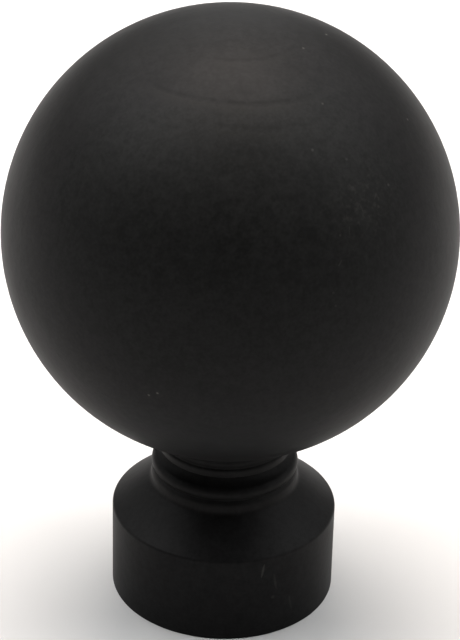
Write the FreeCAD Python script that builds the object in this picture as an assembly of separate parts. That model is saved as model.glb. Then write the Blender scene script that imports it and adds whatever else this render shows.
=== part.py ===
import FreeCAD, Part
import math
import os

# A curtain pole finial, turned from one piece of wood: a ball on a short moulded neck, and a
# collar as wide as the pole that it closes. It stands on the collar's end face, and +Z is its axis.
# All sizes are in millimetres, and they run from the pole's end up to the ball.

# Collar, the plain drum against the end of the pole
COLLAR_D = 35.0
COLLAR_H = 14.2
COLLAR_RIM_R = 0.3
COLLAR_BASE_R = 0.2

# Pilot hole in the end face, for the screw that joins finial and pole
PILOT_D = 6.0
PILOT_DEPTH = 25.0
PILOT_POINT_ANGLE = 118.0
PILOT_CHAMFER = 0.5

# Shoulder, a cone from the collar's rim up to the foot of the neck
SHOULDER_H = 4.85
SHOULDER_HOLLOW_R = 0.9

# Foot, a narrow band that leans in a little as it rises
FOOT_D = 22.9
FOOT_TOP_D = 22.8
FOOT_H = 1.3
FOOT_EDGE_R = 1.2

# Nick, the shallow cut between the foot and the bead
NICK_D = 21.8
NICK_H = 0.7

# Bead, a round ring
BEAD_D = 22.8
BEAD_TOP_D = 21.2
BEAD_H = 2.2

# Cove, the hollow that rises from the bead and runs in under the band
COVE_MIDDLE_D = 19.2
COVE_TOP_D = 18.4
COVE_H = 1.65

# Band under the ball, with a square lower edge and a rounded upper one
BAND_D = 20.6
BAND_H = 1.1
BAND_LIP_R = 0.1
BAND_TOP_R = 0.4

# Groove, a shallow hollow above the band
GROOVE_D = 19.7
GROOVE_H = 1.5

# Neck, the plain stretch from the groove into the underside of the ball
NECK_D = 20.2
NECK_TOP_D = 20.4
NECK_H = 1.57

# Ball
BALL_D = 68.0


def point(diameter, height):
    """A corner of the turned outline, at half its diameter from the axis."""
    return FreeCAD.Vector(diameter / 2, 0, height)


def line(start, end):
    return Part.LineSegment(start, end).toShape()


def arc(start, middle, end):
    return Part.Arc(start, middle, end).toShape()


def turned(edges):
    """The solid that a closed outline sweeps in one turn about the Z axis."""
    face = Part.Face(Part.Wire(edges))
    return face.revolve(FreeCAD.Vector(0, 0, 0), FreeCAD.Vector(0, 0, 1), 360)


def rounded(solid, corner, radius):
    """The turned solid with its round edge at one corner of the outline eased."""
    mark = Part.Vertex(corner)
    edges = [
        edge for edge in solid.Edges
        if edge.isClosed() and edge.distToShape(mark)[0] < Part.Precision.confusion()
    ]
    return solid.makeFillet(radius, edges)


# Heights, each stacked on the one below
foot_z = COLLAR_H + SHOULDER_H
nick_z = foot_z + FOOT_H
bead_z = nick_z + NICK_H
cove_z = bead_z + BEAD_H
band_z = cove_z + COVE_H
groove_z = band_z + BAND_H
neck_z = groove_z + GROOVE_H
ball_z = neck_z + NECK_H
ball_centre_z = ball_z + math.sqrt(BALL_D ** 2 - NECK_TOP_D ** 2) / 2

# Corners of the outline
base_centre = point(0, 0)
base_edge = point(COLLAR_D, 0)
collar_rim = point(COLLAR_D, COLLAR_H)
foot = point(FOOT_D, foot_z)
foot_edge = point(FOOT_TOP_D, nick_z)
bead_start = point(NICK_D, bead_z)
bead_crest = point(BEAD_D, bead_z + BEAD_H / 2)
cove_start = point(BEAD_TOP_D, cove_z)
cove_middle = point(COVE_MIDDLE_D, cove_z + COVE_H / 2)
cove_top = point(COVE_TOP_D, band_z)
band_lip = point(BAND_D, band_z)
band_top = point(BAND_D, groove_z)
groove_floor = point(GROOVE_D, groove_z + GROOVE_H / 2)
neck_start = point(NECK_D, neck_z)
ball_start = point(NECK_TOP_D, ball_z)
ball_side = point(BALL_D, ball_centre_z)
ball_top = point(0, ball_centre_z + BALL_D / 2)

# The turned body
finial = turned([
    line(base_centre, base_edge),
    line(base_edge, collar_rim),
    line(collar_rim, foot),
    line(foot, foot_edge),
    line(foot_edge, bead_start),
    arc(bead_start, bead_crest, cove_start),
    arc(cove_start, cove_middle, cove_top),
    line(cove_top, band_lip),
    line(band_lip, band_top),
    arc(band_top, groove_floor, neck_start),
    line(neck_start, ball_start),
    arc(ball_start, ball_side, ball_top),
    line(ball_top, base_centre),
])
finial = rounded(finial, base_edge, COLLAR_BASE_R)
finial = rounded(finial, collar_rim, COLLAR_RIM_R)
finial = rounded(finial, foot, SHOULDER_HOLLOW_R)
finial = rounded(finial, foot_edge, FOOT_EDGE_R)
finial = rounded(finial, band_lip, BAND_LIP_R)
finial = rounded(finial, band_top, BAND_TOP_R)

# The drilled pilot hole, with the drill's point at its end and a chamfered mouth
mouth = point(PILOT_D + 2 * PILOT_CHAMFER, 0)
wall_start = point(PILOT_D, PILOT_CHAMFER)
wall_end = point(PILOT_D, PILOT_DEPTH)
tip_rise = PILOT_D / 2 / math.tan(math.radians(PILOT_POINT_ANGLE / 2))
drill_tip = point(0, PILOT_DEPTH + tip_rise)
pilot = turned([
    line(base_centre, mouth),
    line(mouth, wall_start),
    line(wall_start, wall_end),
    line(wall_end, drill_tip),
    line(drill_tip, base_centre),
])
finial = finial.cut(pilot)

os.makedirs("parts", exist_ok=True)
finial.exportStep("parts/finial.step")
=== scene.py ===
import bpy
import math
import random
from mathutils import Matrix, Vector


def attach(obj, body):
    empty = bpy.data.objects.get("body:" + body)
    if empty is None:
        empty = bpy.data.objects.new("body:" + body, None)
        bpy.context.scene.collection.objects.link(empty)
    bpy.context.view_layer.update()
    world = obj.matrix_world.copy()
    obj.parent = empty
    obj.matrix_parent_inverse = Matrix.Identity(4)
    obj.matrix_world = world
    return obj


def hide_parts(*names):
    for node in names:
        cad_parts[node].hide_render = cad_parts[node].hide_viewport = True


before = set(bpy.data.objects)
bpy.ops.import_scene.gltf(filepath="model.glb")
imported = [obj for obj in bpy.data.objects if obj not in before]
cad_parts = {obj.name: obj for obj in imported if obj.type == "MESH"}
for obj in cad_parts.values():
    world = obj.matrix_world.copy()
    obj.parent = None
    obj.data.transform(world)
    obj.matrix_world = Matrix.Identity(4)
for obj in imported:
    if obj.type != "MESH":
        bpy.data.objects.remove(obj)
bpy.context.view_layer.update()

# The finial's body. It is one piece of close-grained hardwood, turned between centres: a ball on a
# short neck with a band, a cove and a bead, then a conical shoulder and a plain collar. The screw's
# pilot hole is drilled up into the end face.

MM = 0.001
COLLAR_D, COLLAR_H = 35.0, 14.2
SHOULDER_H = 4.85
FOOT_D, FOOT_TOP_D, FOOT_H = 22.9, 22.8, 1.3
NICK_D, NICK_H = 21.8, 0.7
BEAD_D, BEAD_TOP_D, BEAD_H = 22.8, 21.2, 2.2
COVE_MIDDLE_D, COVE_TOP_D, COVE_H = 19.2, 18.4, 1.65
BAND_D, BAND_H = 20.6, 1.1
GROOVE_D, GROOVE_H = 19.7, 1.5
NECK_D, NECK_TOP_D, NECK_H = 20.2, 20.4, 1.57
BALL_D = 68.0
PILOT_D, PILOT_DEPTH, PILOT_CHAMFER = 6.0, 25.0, 0.5
PILOT_POINT_ANGLE = 118.0

FOOT_Z = COLLAR_H + SHOULDER_H
NICK_Z = FOOT_Z + FOOT_H
BEAD_Z = NICK_Z + NICK_H
COVE_Z = BEAD_Z + BEAD_H
BAND_Z = COVE_Z + COVE_H
GROOVE_Z = BAND_Z + BAND_H
NECK_Z = GROOVE_Z + GROOVE_H
BALL_START_Z = NECK_Z + NECK_H
BALL_R = BALL_D / 2
BALL_Z = BALL_START_Z + math.sqrt(BALL_D ** 2 - NECK_TOP_D ** 2) / 2
TIP_Z = PILOT_DEPTH + PILOT_D / 2 / math.tan(math.radians(PILOT_POINT_ANGLE / 2))
ROUND = 256
EASE_STEPS = 5


def at(diameter, height):
    """A corner of the turned outline: its radius and its height, in millimetres."""
    return Vector((diameter / 2, height))


def straight(start, end, steps):
    """Places along a straight stretch of the outline, with both its ends."""
    return [start.lerp(end, k / steps) for k in range(steps + 1)]


def curved(start, middle, end, steps):
    """Places along the arc through three corners of the outline, with both its ends."""
    first, second = middle - start, end - start
    turn = 2 * (first.x * second.y - first.y * second.x)
    centre = start + Vector((
        second.y * first.length_squared - first.y * second.length_squared,
        first.x * second.length_squared - second.x * first.length_squared,
    )) / turn
    spoke = start - centre
    from_angle = math.atan2(spoke.y, spoke.x)
    to_angle = math.atan2(end.y - centre.y, end.x - centre.x)
    if turn > 0 and to_angle < from_angle:
        to_angle += math.tau
    if turn < 0 and to_angle > from_angle:
        to_angle -= math.tau
    angles = [from_angle + (to_angle - from_angle) * k / steps for k in range(steps + 1)]
    return [centre + Vector((math.cos(a), math.sin(a))) * spoke.length for a in angles]


def eased(stretches):
    """One outline from stretches that meet end to end. Each comes with the reach, in millimetres, of
    the small curve that replaces the sharp corner at its end."""
    outline = []
    reach_before = 0
    for stretch, reach_after in stretches:
        first = stretch[0] + (stretch[1] - stretch[0]).normalized() * reach_before
        last = stretch[-1] + (stretch[-2] - stretch[-1]).normalized() * reach_after
        if outline:
            corner, came_from = stretch[0], outline[-1]
            for k in range(1, EASE_STEPS):
                share = k / EASE_STEPS
                outline.append(came_from.lerp(corner, share).lerp(corner.lerp(first, share), share))
        outline.append(first)
        for place in stretch[1:-1]:
            if (place - stretch[0]).length > reach_before and (place - stretch[-1]).length > reach_after:
                outline.append(place)
        outline.append(last)
        reach_before = reach_after
    return outline


# The outline runs from the drill's point out over the end face and up to the crown. Each stretch
# has its corners, its number of steps, and the reach of the ease at its end.
outline = eased([
    (straight(at(PILOT_D, PILOT_DEPTH), at(PILOT_D, PILOT_CHAMFER), 12), 0.05),
    (straight(at(PILOT_D, PILOT_CHAMFER), at(PILOT_D + 2 * PILOT_CHAMFER, 0), 3), 0.05),
    (straight(at(PILOT_D + 2 * PILOT_CHAMFER, 0), at(COLLAR_D, 0), 12), 0.2),
    (straight(at(COLLAR_D, 0), at(COLLAR_D, COLLAR_H), 28), 0.3),
    (straight(at(COLLAR_D, COLLAR_H), at(FOOT_D, FOOT_Z), 20), 0.5),
    (straight(at(FOOT_D, FOOT_Z), at(FOOT_TOP_D, NICK_Z), 8), 0.4),
    (straight(at(FOOT_TOP_D, NICK_Z), at(NICK_D, BEAD_Z), 6), 0.05),
    (curved(at(NICK_D, BEAD_Z), at(BEAD_D, BEAD_Z + BEAD_H / 2), at(BEAD_TOP_D, COVE_Z), 24), 0.1),
    (curved(at(BEAD_TOP_D, COVE_Z), at(COVE_MIDDLE_D, COVE_Z + COVE_H / 2), at(COVE_TOP_D, BAND_Z), 20), 0.1),
    (straight(at(COVE_TOP_D, BAND_Z), at(BAND_D, BAND_Z), 10), 0.1),
    (straight(at(BAND_D, BAND_Z), at(BAND_D, GROOVE_Z), 8), 0.4),
    (curved(at(BAND_D, GROOVE_Z), at(GROOVE_D, GROOVE_Z + GROOVE_H / 2), at(NECK_D, NECK_Z), 16), 0.1),
    (straight(at(NECK_D, NECK_Z), at(NECK_TOP_D, BALL_START_Z), 8), 0.2),
    (curved(at(NECK_TOP_D, BALL_START_Z), at(BALL_D, BALL_Z), at(0, BALL_Z + BALL_R), 140), 0),
])[:-1]

# It is turned about the axis. The first two points are the drill's tip and the top of the crown.
points = [Vector((0, 0, TIP_Z)) * MM, Vector((0, 0, BALL_Z + BALL_R)) * MM]
for place in outline:
    for k in range(ROUND):
        turn = math.tau * k / ROUND
        points.append(Vector((place.x * math.cos(turn), place.x * math.sin(turn), place.y)) * MM)
faces = []
last_ring = 2 + (len(outline) - 1) * ROUND
for k in range(ROUND):
    beside = (k + 1) % ROUND
    faces.append((0, 2 + beside, 2 + k))
    faces.append((1, last_ring + k, last_ring + beside))
    for below in range(2, last_ring, ROUND):
        above = below + ROUND
        faces.append((below + k, below + beside, above + beside, above + k))
mesh = bpy.data.meshes.new("finial_body")
mesh.from_pydata(points, [], faces)
mesh.validate()
mesh.shade_smooth()
body = bpy.data.objects.new("finial_body", mesh)
bpy.context.collection.objects.link(body)


# Its finish is black lacquer, sprayed thin over sanded wood. It dries matt, so the ball only shows
# broad soft lights, with a faint cloudiness where the coat is thicker and the growth rings of the
# wood as fine dark arcs on the crown. Handling has left dust specks, scuffs and short scratches.

def srgb(code):
    """A colour from its sRGB hex code, in linear light."""
    shares = [int(code[k:k + 2], 16) / 255 for k in (0, 2, 4)]
    return [c / 12.92 if c <= 0.04045 else ((c + 0.055) / 1.055) ** 2.4 for c in shares] + [1.0]


def add(kind, links=(), **settings):
    """Adds a node to the lacquer, sets its properties and fills or links its inputs."""
    node = lacquer.node_tree.nodes.new(kind)
    for name, value in settings.items():
        setattr(node, name, value)
    for name, value in dict(links).items():
        if isinstance(value, bpy.types.NodeSocket):
            lacquer.node_tree.links.new(value, node.inputs[name])
        else:
            node.inputs[name].default_value = value
    return node


def on_ball(turned, raised):
    """A place on the ball, from its angles to the right of the front and above the middle."""
    turned, raised = math.radians(turned), math.radians(raised)
    out = BALL_R * math.cos(raised)
    return Vector((out * math.sin(turned), -out * math.cos(turned), BALL_Z + BALL_R * math.sin(raised)))


def on_collar(turned, height):
    """A place on the collar, from its angle to the right of the front and its height."""
    turned = math.radians(turned)
    return Vector((math.sin(turned), -math.cos(turned), 0)) * COLLAR_D / 2 + Vector((0, 0, height))


lacquer = bpy.data.materials.new("matt_black_lacquer_on_turned_hardwood")
lacquer.use_nodes = True
shader = lacquer.node_tree.nodes["Principled BSDF"]
LACQUER_BLACK = srgb("151515")
THICK_COAT = srgb("0C0C0C")
RING_BLACK = srgb("040404")
EARLY_WOOD = srgb("1A1A18")
DUST_GREY = srgb("A09D97")
shader.inputs["IOR"].default_value = 1.45
shader.inputs["Specular IOR Level"].default_value = 0.083

# The object's coordinates, turned to millimetres.
where = add("ShaderNodeTexCoord")
spot = add("ShaderNodeVectorMath", {0: where.outputs["Object"], 1: (1 / MM,) * 3}, operation="MULTIPLY")
spot = spot.outputs["Vector"]

# The coat's cloudiness, in patches about 9 mm wide, and the orange peel that it dries with, in
# dimples about 1.4 mm wide. The fine dry-spray grain is under 0.1 mm wide in truth, and is drawn
# at 0.5 mm so that it shows. Clouds and grain are weighed against the peel, and where their sum
# goes from thin to thick, the coat goes from its own black to the deeper one.
CLOUD_MM = 9.0
PEEL_MM = 1.4
GRAIN_MM = 0.5
CLOUD_WEIGHT = 0.5
GRAIN_WEIGHT = 1.1
THIN, THICK = 1.0, 1.6
clouds = add("ShaderNodeTexNoise", {"Vector": spot, "Scale": 1 / CLOUD_MM, "Detail": 3.0})
peel = add("ShaderNodeTexNoise", {"Vector": spot, "Scale": 1 / PEEL_MM, "Detail": 2.0})
grain = add("ShaderNodeTexNoise", {"Vector": spot, "Scale": 1 / GRAIN_MM, "Detail": 1.0})
patchy = add("ShaderNodeMath", {
    0: clouds.outputs["Fac"], 1: CLOUD_WEIGHT, 2: peel.outputs["Fac"],
}, operation="MULTIPLY_ADD")
patchy = add("ShaderNodeMath", {
    0: grain.outputs["Fac"], 1: GRAIN_WEIGHT, 2: patchy.outputs[0],
}, operation="MULTIPLY_ADD")
thickness = add("ShaderNodeMapRange", {"Value": patchy.outputs[0], "From Min": THIN, "From Max": THICK})
coat = add("ShaderNodeMixRGB", {
    "Fac": thickness.outputs["Result"], "Color1": LACQUER_BLACK, "Color2": THICK_COAT,
})

# Growth rings round the tree's pith, which leans a little from the turning axis. Each ring is a
# dark line of late wood with paler early wood outside it. It has a distance from the pith, its
# reach to the left and right, and a strength. Rings waver by up to 0.3 mm, and only show through
# the thin coat on the crown, most of all on the high spots of the orange peel.
PITH_AT_CROWN = (-0.74, -1.11, BALL_Z + BALL_R)
PITH_WAY = Vector((-0.2, 0.1, 1.0)).normalized()
RING_WAVE_MM = 14.0
RING_WAVER_MM = 0.3
RING_LINE_MM = 0.46
EARLY_WOOD_MM = 1.7
RING_FADE_MM = 4.5
RINGS_FROM_Z, RINGS_FULL_Z = BALL_Z + 0.3 * BALL_R, BALL_Z + 0.6 * BALL_R
PEEL_LOW, PEEL_HIGH = 0.3, 0.6
SHOWN_IN_LOWS = 0.2
LATE_WOOD_TONE = 0.9
EARLY_WOOD_TONE = 0.45
RINGS = (
    (7.9, -3.0, 10.0, 0.35), (9.45, -5.0, 10.5, 0.75), (12.0, -15.0, -6.0, 0.3),
    (14.7, -4.0, 7.0, 0.2), (16.05, -14.0, 12.0, 1.0), (18.95, -5.5, 12.0, 0.55),
    (20.3, -15.0, -3.0, 0.35), (21.5, -4.0, 8.0, 0.25),
)

aside = add("ShaderNodeVectorMath", {0: spot, 1: PITH_AT_CROWN}, operation="SUBTRACT")
aside = add("ShaderNodeVectorMath", {0: aside.outputs["Vector"], 1: PITH_WAY}, operation="CROSS_PRODUCT")
from_pith = add("ShaderNodeVectorMath", {0: aside.outputs["Vector"]}, operation="LENGTH")
waves = add("ShaderNodeTexNoise", {"Vector": spot, "Scale": 1 / RING_WAVE_MM, "Detail": 0.0})
from_pith = add("ShaderNodeMath", {
    0: waves.outputs["Fac"], 1: 2 * RING_WAVER_MM, 2: from_pith.outputs["Value"],
}, operation="MULTIPLY_ADD")
from_pith = add("ShaderNodeMath", {0: from_pith.outputs[0], 1: RING_WAVER_MM}, operation="SUBTRACT")
from_pith = from_pith.outputs[0]
sides = add("ShaderNodeSeparateXYZ", {"Vector": spot})
late_wood = early_wood = None
for radius, left, right, strength in RINGS:
    past = add("ShaderNodeMath", {0: from_pith, 1: radius}, operation="SUBTRACT").outputs[0]
    off_line = add("ShaderNodeMath", {0: past}, operation="ABSOLUTE").outputs[0]
    line = add("ShaderNodeMapRange", {
        "Value": off_line, "From Max": RING_LINE_MM, "To Min": strength, "To Max": 0.0,
    }, interpolation_type="SMOOTHSTEP").outputs["Result"]
    past_line = add("ShaderNodeMath", {0: past, 1: RING_LINE_MM}, operation="GREATER_THAN").outputs[0]
    band = add("ShaderNodeMapRange", {
        "Value": past,
        "From Min": RING_LINE_MM, "From Max": EARLY_WOOD_MM, "To Min": strength, "To Max": 0.0,
    }).outputs["Result"]
    band = add("ShaderNodeMath", {0: band, 1: past_line}, operation="MULTIPLY").outputs[0]
    off_middle = add("ShaderNodeMath", {0: sides.outputs["X"], 1: (left + right) / 2}, operation="SUBTRACT")
    off_middle = add("ShaderNodeMath", {0: off_middle.outputs[0]}, operation="ABSOLUTE").outputs[0]
    half = (right - left) / 2
    shown = add("ShaderNodeMapRange", {
        "Value": off_middle,
        "From Min": half - RING_FADE_MM, "From Max": half, "To Min": 1.0, "To Max": 0.0,
    }).outputs["Result"]
    line = add("ShaderNodeMath", {0: line, 1: shown}, operation="MULTIPLY").outputs[0]
    band = add("ShaderNodeMath", {0: band, 1: shown}, operation="MULTIPLY").outputs[0]
    if late_wood:
        line = add("ShaderNodeMath", {0: late_wood, 1: line}, operation="MAXIMUM").outputs[0]
        band = add("ShaderNodeMath", {0: early_wood, 1: band}, operation="MAXIMUM").outputs[0]
    late_wood, early_wood = line, band
crown = add("ShaderNodeMapRange", {
    "Value": sides.outputs["Z"], "From Min": RINGS_FROM_Z, "From Max": RINGS_FULL_Z,
}).outputs["Result"]
broken = add("ShaderNodeMapRange", {
    "Value": peel.outputs["Fac"], "From Min": PEEL_LOW, "From Max": PEEL_HIGH, "To Min": SHOWN_IN_LOWS,
}).outputs["Result"]
showing = add("ShaderNodeMath", {0: crown, 1: broken}, operation="MULTIPLY").outputs[0]
late_wood = add("ShaderNodeMath", {0: late_wood, 1: showing}, operation="MULTIPLY").outputs[0]
early_wood = add("ShaderNodeMath", {0: early_wood, 1: showing}, operation="MULTIPLY").outputs[0]
late_share = add("ShaderNodeMath", {0: late_wood, 1: LATE_WOOD_TONE}, operation="MULTIPLY").outputs[0]
early_share = add("ShaderNodeMath", {0: early_wood, 1: EARLY_WOOD_TONE}, operation="MULTIPLY").outputs[0]
ringed = add("ShaderNodeMixRGB", {
    "Fac": early_share, "Color1": coat.outputs["Color"], "Color2": EARLY_WOOD,
})
ringed = add("ShaderNodeMixRGB", {
    "Fac": late_share, "Color1": ringed.outputs["Color"], "Color2": RING_BLACK,
})

# Specks of dust and short scratches. Each mark runs from one place to another and fades out within
# its spread, so a scratch is a slim ellipse and a speck a dot. A speck has its two angles on the
# ball and a strength, a stroke its two ends and a strength. The back half has a few faint specks.
SPECK_MM = 0.52
STROKE_MM = 0.05
SPECKS = [
    (60.3, 71.0, 0.12), (96.9, 67.3, 0.25), (39.4, 55.3, 0.07), (27.0, 44.8, 0.057),
    (37.5, 40.7, 0.036), (74.3, 40.9, 0.16), (48.6, 31.6, 0.06), (42.6, 27.9, 0.024),
    (28.9, 24.1, 0.037), (25.4, 11.1, 0.034), (25.9, 7.8, 0.042), (-19.5, -17.5, 0.17),
    (-17.1, -16.2, 0.19),
]
STROKES = (
    (on_ball(43.4, 31.1), on_ball(42.0, 29.8), 0.016),
    (on_ball(36.8, 30.0), on_ball(37.2, 27.8), 0.012),
    (on_ball(31.9, 28.4), on_ball(31.8, 26.8), 0.009),
    (on_ball(32.1, 25.6), on_ball(31.6, 23.8), 0.016),
    (on_ball(28.3, 18.3), on_ball(27.3, 17.1), 0.025),
    (on_ball(16.9, 32.4), on_ball(16.6, 30.4), 0.005),
    (on_collar(21.6, 13.3), on_collar(20.2, 10.9), 0.058),
    (on_collar(27.0, 11.1), on_collar(28.7, 8.2), 0.026),
    (on_collar(26.8, 7.0), on_collar(26.8, 6.7), 0.038),
    (on_collar(36.5, 6.1), on_collar(38.5, 3.3), 0.022),
)
BACK_SPECKS = 14
dust = random.Random(7)
for _ in range(BACK_SPECKS):
    SPECKS.append((dust.uniform(110, 250), dust.uniform(-25, 65), dust.uniform(0.03, 0.12)))
marks = [(on_ball(turned, raised), on_ball(turned, raised), strength) for turned, raised, strength in SPECKS]
marks.extend(STROKES)
pale = None
for start, end, strength in marks:
    length = (end - start).length
    spread = STROKE_MM if length > SPECK_MM else SPECK_MM
    near = add("ShaderNodeVectorMath", {0: spot, 1: start}, operation="DISTANCE")
    far = add("ShaderNodeVectorMath", {0: spot, 1: end}, operation="DISTANCE")
    both = add("ShaderNodeMath", {0: near.outputs["Value"], 1: far.outputs["Value"]}, operation="ADD")
    mark = add("ShaderNodeMapRange", {
        "Value": both.outputs[0],
        "From Min": length, "From Max": length + spread, "To Min": strength, "To Max": 0.0,
    }).outputs["Result"]
    if pale:
        mark = add("ShaderNodeMath", {0: pale, 1: mark}, operation="MAXIMUM").outputs[0]
    pale = mark

# The scuffed patch on the ball's right cheek, in broken flecks about 0.9 mm wide.
SCUFF_MIDDLE = on_ball(38.0, 29.0)
SCUFF_R = 9.0
FLECK_MM = 0.9
FLECK_FROM, FLECK_FULL = 0.52, 0.7
FLECK_STRENGTH = 0.022
from_scuff = add("ShaderNodeVectorMath", {0: spot, 1: SCUFF_MIDDLE}, operation="DISTANCE")
patch = add("ShaderNodeMapRange", {
    "Value": from_scuff.outputs["Value"], "From Max": SCUFF_R, "To Min": 1.0, "To Max": 0.0,
}, interpolation_type="SMOOTHSTEP")
flecks = add("ShaderNodeTexNoise", {"Vector": spot, "Scale": 1 / FLECK_MM, "Detail": 3.0})
flecks = add("ShaderNodeMapRange", {
    "Value": flecks.outputs["Fac"],
    "From Min": FLECK_FROM, "From Max": FLECK_FULL, "To Max": FLECK_STRENGTH,
})
scuff = add("ShaderNodeMath", {0: patch.outputs["Result"], 1: flecks.outputs["Result"]}, operation="MULTIPLY")
pale = add("ShaderNodeMath", {0: pale, 1: scuff.outputs[0]}, operation="ADD").outputs[0]
dusty = add("ShaderNodeMixRGB", {"Fac": pale, "Color1": ringed.outputs["Color"], "Color2": DUST_GREY})
lacquer.node_tree.links.new(dusty.outputs["Color"], shader.inputs["Base Color"])

# The coat is a little smoother where it is thick. Its orange peel stands up, and late wood sinks.
CLOUD_LOW, CLOUD_HIGH = 0.35, 0.65
ROUGH_THIN, ROUGH_THICK = 0.52, 0.48
PEEL_HEIGHT_MM = 0.02
RING_DEPTH_MM = 0.01
gloss = add("ShaderNodeMapRange", {
    "Value": clouds.outputs["Fac"],
    "From Min": CLOUD_LOW, "From Max": CLOUD_HIGH, "To Min": ROUGH_THIN, "To Max": ROUGH_THICK,
})
lacquer.node_tree.links.new(gloss.outputs["Result"], shader.inputs["Roughness"])
relief = add("ShaderNodeMath", {
    0: late_wood, 1: -RING_DEPTH_MM / PEEL_HEIGHT_MM, 2: peel.outputs["Fac"],
}, operation="MULTIPLY_ADD")
bump = add("ShaderNodeBump", {"Height": relief.outputs[0], "Distance": PEEL_HEIGHT_MM * MM})
lacquer.node_tree.links.new(bump.outputs["Normal"], shader.inputs["Normal"])

mesh.materials.append(lacquer)
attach(body, "root")
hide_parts("finial")

# The studio floor is one wide sheet of matt backdrop paper. It lies flat, far past what the camera
# sees, and is bright enough under the lamps to come out white, with a soft shadow by the collar.

FLOOR_HALF = 20.0
floor_mesh = bpy.data.meshes.new("floor")
floor_mesh.from_pydata(
    [(x * FLOOR_HALF, y * FLOOR_HALF, 0) for x, y in ((-1, -1), (1, -1), (1, 1), (-1, 1))],
    [],
    [(0, 1, 2, 3)],
)
floor = bpy.data.objects.new("floor", floor_mesh)
bpy.context.collection.objects.link(floor)
paper = bpy.data.materials.new("matt_white_backdrop_paper")
paper.use_nodes = True
paper_shader = paper.node_tree.nodes["Principled BSDF"]
paper_shader.inputs["Base Color"].default_value = srgb("B6B6B6")
paper_shader.inputs["Roughness"].default_value = 0.9
floor_mesh.materials.append(paper)

# The studio's walls come in as the light of the world. They are pale near the horizon and dark
# above it, so that they only light the rims of the ball and of the collar.

WALL_BRIGHTNESS = 0.18
WALL_FULL_RISE, WALL_TOP_RISE = 0.07, 0.35
world = bpy.data.worlds.new("pale_walls")
world.use_nodes = True
nodes, wires = world.node_tree.nodes, world.node_tree.links
nodes["Background"].inputs["Color"].default_value = srgb("FFFFFF")
wall_place = nodes.new("ShaderNodeTexCoord")
wall_rise = nodes.new("ShaderNodeSeparateXYZ")
walls = nodes.new("ShaderNodeMapRange")
walls.interpolation_type = "SMOOTHSTEP"
walls.inputs["From Min"].default_value = WALL_FULL_RISE
walls.inputs["From Max"].default_value = WALL_TOP_RISE
walls.inputs["To Min"].default_value = WALL_BRIGHTNESS
walls.inputs["To Max"].default_value = 0.0
wires.new(wall_place.outputs["Generated"], wall_rise.inputs["Vector"])
wires.new(wall_rise.outputs["Z"], walls.inputs["Value"])
wires.new(walls.outputs["Result"], nodes["Background"].inputs["Strength"])
bpy.context.scene.world = world

# The lamps are large round soft boxes, each facing the finial from far off, so the sheet is lit
# evenly too. Each has its angle from the back round to the right, its height angle, its brightness
# and its colour. The two highest at the back are a little warmer than the rest.

BOX_D = 6.0
BOX_AWAY = 9.0
LIT = Vector((0, 0, 55)) * MM
BOXES = {
    "back_top": (0, 75, 13.4, "FFF5ED"),
    "back_high": (0, 60, 0.67, "FFF5ED"),
    "back_low": (0, 30, 1.7, "FFFFFF"),
    "front_top": (180, 70, 0.7, "FFFFFF"),
    "left_high": (-90, 60, 6.9, "FFFFFF"),
    "right_high": (90, 60, 5.35, "FFFFFF"),
    "left_low": (-90, 30, 1.1, "FFFFFF"),
    "right_low": (90, 30, 2.0, "FFFFFF"),
    "back_left": (-45, 40, 2.4, "FFFFFF"),
    "back_right": (45, 40, 2.1, "FFFFFF"),
    "front_right": (135, 35, 0.35, "FFFFFF"),
}
for name, (turned, raised, brightness, colour) in BOXES.items():
    turned, raised = math.radians(turned), math.radians(raised)
    way = Vector((
        math.sin(turned) * math.cos(raised), math.cos(turned) * math.cos(raised), math.sin(raised)
    ))
    lamp = bpy.data.lights.new(name, "AREA")
    lamp.shape = "DISK"
    lamp.size = BOX_D
    lamp.energy = brightness * math.pi ** 2 * (BOX_D / 2) ** 2
    lamp.color = srgb(colour)[:3]
    box = bpy.data.objects.new(name, lamp)
    box.location = LIT + way * BOX_AWAY
    box.rotation_euler = way.to_track_quat("Z", "Y").to_euler()
    bpy.context.collection.objects.link(box)

# The camera looks down on the ball from 29 degrees above, with a long lens. The ball's middle is
# placed in the frame by its distances from the left and the top.

ELEVATION = math.radians(29.07)
ROLL = math.radians(-1.43)
FOCAL_PX = 2517.9
FRAME_W_PX, FRAME_H_PX = 460, 640
BALL_U_PX, BALL_V_PX = 230.36, 232.52
DISTANCE = 374.0 * MM
FILM_MM = 36.0

look = Vector((0, math.cos(ELEVATION), -math.sin(ELEVATION)))
side = Vector((1, 0, 0))
rise = side.cross(look)
across = side * math.cos(ROLL) - rise * math.sin(ROLL)
upward = side * math.sin(ROLL) + rise * math.cos(ROLL)
offset_x = (BALL_U_PX - FRAME_W_PX / 2) * DISTANCE / FOCAL_PX
offset_y = (FRAME_H_PX / 2 - BALL_V_PX) * DISTANCE / FOCAL_PX
standpoint = Vector((0, 0, BALL_Z * MM)) - look * DISTANCE - across * offset_x - upward * offset_y
lens = bpy.data.cameras.new("camera")
lens.sensor_width = FILM_MM
lens.lens = FILM_MM * FOCAL_PX / FRAME_H_PX
camera = bpy.data.objects.new("camera", lens)
turned_to = Matrix((across, upward, -look)).transposed().to_4x4()
camera.matrix_world = Matrix.Translation(standpoint) @ turned_to
bpy.context.collection.objects.link(camera)
bpy.context.scene.camera = camera
bpy.context.scene.view_settings.view_transform = "Standard"
